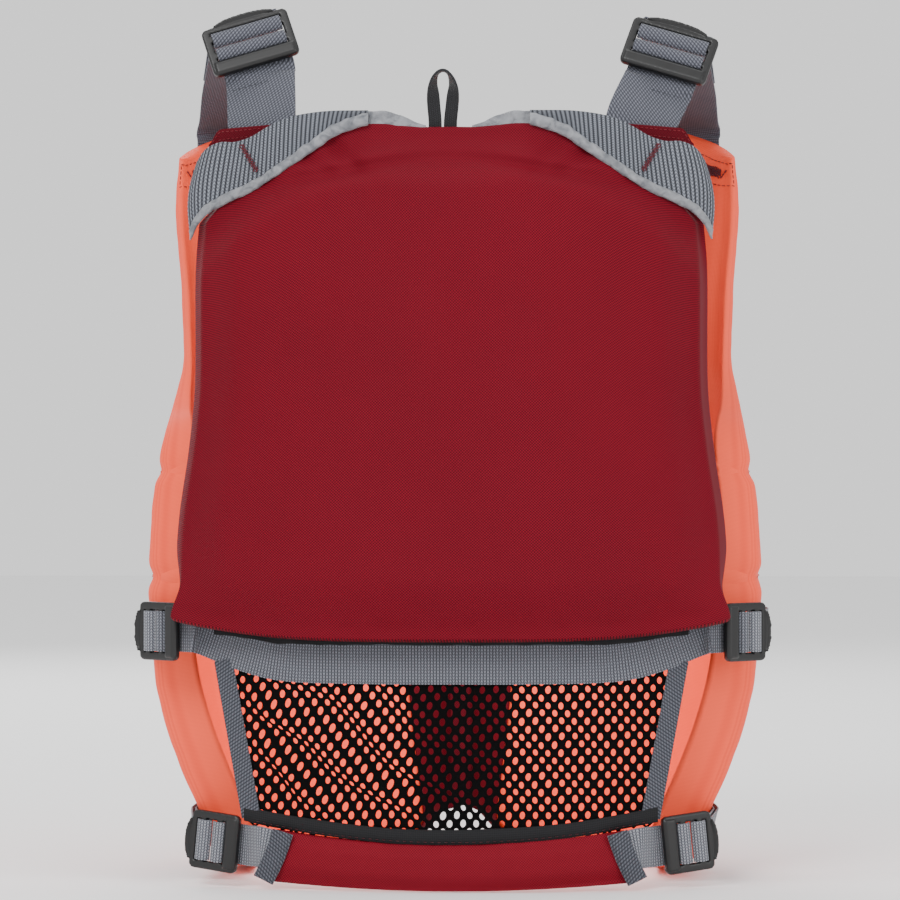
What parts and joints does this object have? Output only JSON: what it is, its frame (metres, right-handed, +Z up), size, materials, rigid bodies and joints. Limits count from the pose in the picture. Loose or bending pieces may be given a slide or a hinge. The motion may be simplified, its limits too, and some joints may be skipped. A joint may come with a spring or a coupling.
{
  "type": "life jacket",
  "caption": "Zip-front foam paddling vest with high back panel, open mesh lower back, adjustable shoulder, waist and hem straps and a hang loop.",
  "frame": {"origin": "middle of the base, where the hem would stand on a surface", "axes": "+Z up to the shoulders, -Y the wearer's front with the zip, +Y the back, +X the wearer's left"},
  "size_m": [0.399, 0.2859, 0.5492],
  "materials": {
    "coral_shell": "coral woven nylon, matt",
    "coral_lining": "coral woven nylon lining, matt",
    "maroon_shell": "deep red fine twill, matt",
    "back_mesh_lining": "black knitted lining",
    "foam": "closed-cell flotation foam",
    "grey_webbing": "ribbed grey webbing",
    "dark_grey_webbing": "fine dark grey webbing",
    "satin_binding": "light grey satin binding",
    "black_mesh": "black knitted mesh",
    "black_webbing": "black webbing",
    "black_plastic": "moulded black acetal, satin",
    "zip_tape": "grey woven zip tape"
  },
  "bodies": {
    "back": {"back_cover": "maroon_shell", "back_foam": "foam", "back_lining": "back_mesh_lining", "shoulder_tab_left": "maroon_shell", "shoulder_tab_right": "maroon_shell", "shoulder_yoke_left": "grey_webbing", "shoulder_yoke_right": "grey_webbing", "yoke_binding_left": "satin_binding", "yoke_binding_right": "satin_binding", "shoulder_strap_back_left": "grey_webbing", "shoulder_strap_back_right": "grey_webbing", "waist_belt": "grey_webbing", "mesh_panel": "black_mesh", "mesh_edge_left": "grey_webbing", "mesh_edge_right": "grey_webbing", "lower_band": "black_webbing", "hem_panel": "maroon_shell", "hem_strap_back_left": "grey_webbing", "hem_strap_back_right": "grey_webbing"},
    "front_left": {"front_cover_left": "coral_shell", "front_chest_foam_left": "foam", "front_belt_foam_left": "foam", "front_waist_foam_left": "foam", "front_lining_left": "coral_lining", "shoulder_strap_front_left": "dark_grey_webbing", "waist_strap_front_left": "grey_webbing", "hem_strap_front_left": "grey_webbing", "zip_tape_left": "zip_tape", "zip_teeth_left": "black_plastic", "pocket_left": "coral_shell", "pocket_zip_left": "zip_tape"},
    "front_right": {"front_cover_right": "coral_shell", "front_chest_foam_right": "foam", "front_belt_foam_right": "foam", "front_waist_foam_right": "foam", "front_lining_right": "coral_lining", "shoulder_strap_front_right": "dark_grey_webbing", "waist_strap_front_right": "grey_webbing", "hem_strap_front_right": "grey_webbing", "zip_tape_right": "zip_tape", "zip_teeth_right": "black_plastic", "pocket_right": "coral_shell", "pocket_zip_right": "zip_tape"},
    "hang_loop": {"hang_loop": "black_webbing"},
    "main_zip_slider": {"main_zip_slider": "black_plastic"},
    "main_zip_pull": {"main_zip_pull": "black_plastic"},
    "shoulder_adjuster_left": {"shoulder_adjuster_left": "black_plastic"},
    "waist_adjuster_left": {"waist_adjuster_left": "black_plastic"},
    "hem_adjuster_left": {"hem_adjuster_left": "black_plastic"},
    "pocket_zip_slider_left": {"pocket_zip_slider_left": "black_plastic"},
    "pocket_zip_pull_left": {"pocket_zip_pull_left": "black_plastic"},
    "shoulder_adjuster_right": {"shoulder_adjuster_right": "black_plastic"},
    "waist_adjuster_right": {"waist_adjuster_right": "black_plastic"},
    "hem_adjuster_right": {"hem_adjuster_right": "black_plastic"},
    "pocket_zip_slider_right": {"pocket_zip_slider_right": "black_plastic"},
    "pocket_zip_pull_right": {"pocket_zip_pull_right": "black_plastic"}
  },
  "joints": [
    {"name": "front_left_opens", "type": "hinge", "parent": "back", "child": "front_left", "pos_m": [0.178, 0.058, 0.095], "axis": [-0.1168, -0.0187, 0.993], "range_deg": [0, 60], "deforming": ["shoulder_strap_front_left", "waist_strap_front_left", "hem_strap_front_left", "zip_teeth_left", "zip_teeth_right"]},
    {"name": "front_right_opens", "type": "hinge", "parent": "back", "child": "front_right", "pos_m": [-0.178, 0.058, 0.095], "axis": [-0.1168, 0.0187, -0.993], "range_deg": [0, 60], "deforming": ["shoulder_strap_front_right", "waist_strap_front_right", "hem_strap_front_right", "zip_teeth_left", "zip_teeth_right"]},
    {"name": "main_zip_slides", "type": "slide", "parent": "front_left", "child": "main_zip_slider", "axis": [0, 0, -1], "range_m": [0, 0.26], "deforming": ["zip_teeth_left", "zip_teeth_right"]},
    {"name": "main_zip_pull_swings", "type": "hinge", "parent": "main_zip_slider", "child": "main_zip_pull", "pos_m": [0, -0.1428, 0.329], "axis": [-1, 0, 0], "range_deg": [0, 150]},
    {"name": "pocket_zip_left_slides", "type": "slide", "parent": "front_left", "child": "pocket_zip_slider_left", "axis": [-0.1112, 0.0028, -0.9938], "range_m": [0, 0.078]},
    {"name": "pocket_zip_pull_left_swings", "type": "hinge", "parent": "pocket_zip_slider_left", "child": "pocket_zip_pull_left", "pos_m": [0.09002, -0.1386, 0.15157], "axis": [-0.966, -0.235, 0.1075], "range_deg": [0, 150]},
    {"name": "pocket_zip_right_slides", "type": "slide", "parent": "front_right", "child": "pocket_zip_slider_right", "axis": [0.1112, 0.0028, -0.9938], "range_m": [0, 0.078]},
    {"name": "pocket_zip_pull_right_swings", "type": "hinge", "parent": "pocket_zip_slider_right", "child": "pocket_zip_pull_right", "pos_m": [-0.09002, -0.1386, 0.15157], "axis": [-0.966, 0.235, -0.1075], "range_deg": [0, 150]},
    {"name": "shoulder_adjuster_left_tilts", "type": "hinge", "parent": "back", "child": "shoulder_adjuster_left", "pos_m": [0.12344, 0.07263, 0.51841], "axis": [-0.9507, -0.1146, 0.2881], "range_deg": [0, 20], "deforming": ["shoulder_strap_front_left", "shoulder_strap_back_left"]},
    {"name": "shoulder_adjuster_right_tilts", "type": "hinge", "parent": "back", "child": "shoulder_adjuster_right", "pos_m": [-0.13344, 0.07263, 0.51241], "axis": [-0.9507, 0.1146, -0.2881], "range_deg": [0, 20], "deforming": ["shoulder_strap_front_right", "shoulder_strap_back_right"]},
    {"name": "waist_adjuster_left_tilts", "type": "hinge", "parent": "back", "child": "waist_adjuster_left", "pos_m": [0.17888, 0.0712, 0.157], "axis": [0, 0, 1], "range_deg": [0, 20], "deforming": ["waist_strap_front_left", "waist_belt"]},
    {"name": "waist_adjuster_right_tilts", "type": "hinge", "parent": "back", "child": "waist_adjuster_right", "pos_m": [-0.17888, 0.0712, 0.157], "axis": [0, 0, -1], "range_deg": [0, 20], "deforming": ["waist_strap_front_right", "waist_belt"]},
    {"name": "hem_adjuster_left_tilts", "type": "hinge", "parent": "back", "child": "hem_adjuster_left", "pos_m": [0.14274, 0.08273, 0.02781], "axis": [-0.0955, 0.0425, 0.9945], "range_deg": [0, 20], "deforming": ["hem_strap_front_left", "hem_strap_back_left"]},
    {"name": "hem_adjuster_right_tilts", "type": "hinge", "parent": "back", "child": "hem_adjuster_right", "pos_m": [-0.14274, 0.08273, 0.02781], "axis": [-0.0955, -0.0425, -0.9945], "range_deg": [0, 20], "deforming": ["hem_strap_front_right", "hem_strap_back_right"]},
    {"name": "hang_loop_folds", "type": "hinge", "parent": "back", "child": "hang_loop", "pos_m": [0.003, 0.1151, 0.4637], "axis": [1, 0, 0], "range_deg": [-80, 80]}
  ]
}
